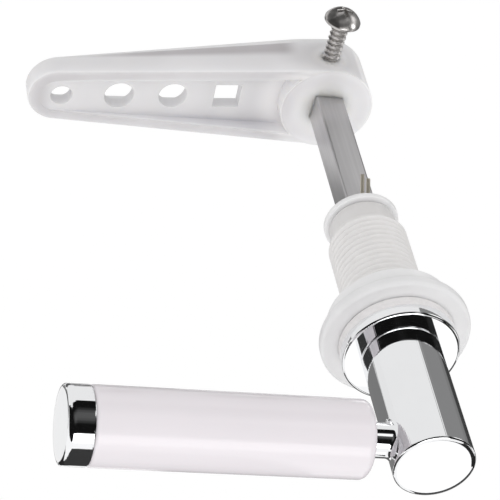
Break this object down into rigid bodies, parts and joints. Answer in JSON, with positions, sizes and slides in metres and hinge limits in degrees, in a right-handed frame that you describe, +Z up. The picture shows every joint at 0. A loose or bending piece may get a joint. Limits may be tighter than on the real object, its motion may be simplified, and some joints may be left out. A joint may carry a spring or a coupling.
{
  "type": "cistern lever",
  "caption": "Chrome and white cistern lever with a sleeved handle, threaded wall bush and back nut, square spindle and a holed plastic flush arm.",
  "frame": {"origin": "on the spindle axis, in the plane where the sealing washer meets the cistern wall", "axes": "+Y along the spindle into the cistern, +Z up, the handle and the flush arm along -X"},
  "size_m": [0.1073, 0.1527, 0.0478],
  "materials": {
    "chrome_plate": "polished plate",
    "white_glaze": "glossy",
    "grey_rubber": "soft, matt",
    "white_plastic": "as moulded",
    "natural_plastic": "translucent, as moulded",
    "plain_steel": "drawn bar, zinc plated",
    "brass_wire": "bright wire",
    "screw_steel": "bright"
  },
  "bodies": {
    "wall_set": {"cover_flange": "chrome_plate", "threaded_bush": "white_plastic", "seal_washer": "grey_rubber"},
    "lever": {"lever_hub": "chrome_plate", "handle_stud": "plain_steel", "handle_sleeve": "white_glaze", "end_cap": "chrome_plate", "spindle": "plain_steel", "retaining_washer": "white_plastic", "split_pin": "brass_wire"},
    "arm": {"flush_arm": "natural_plastic", "arm_screw": "screw_steel"},
    "nut": {"back_nut": "white_plastic"}
  },
  "joints": [
    {"name": "lever_turn", "type": "hinge", "parent": "wall_set", "child": "lever", "pos_m": [0, 0, 0], "axis": [0, -1, 0], "range_deg": [-15, 60]},
    {"name": "arm_slide", "type": "slide", "parent": "lever", "child": "arm", "axis": [0, 1, 0], "range_m": [-0.038, 0]},
    {"name": "nut_travel", "type": "slide", "parent": "wall_set", "child": "nut", "axis": [0, 1, 0], "range_m": [0, 0.026]}
  ]
}
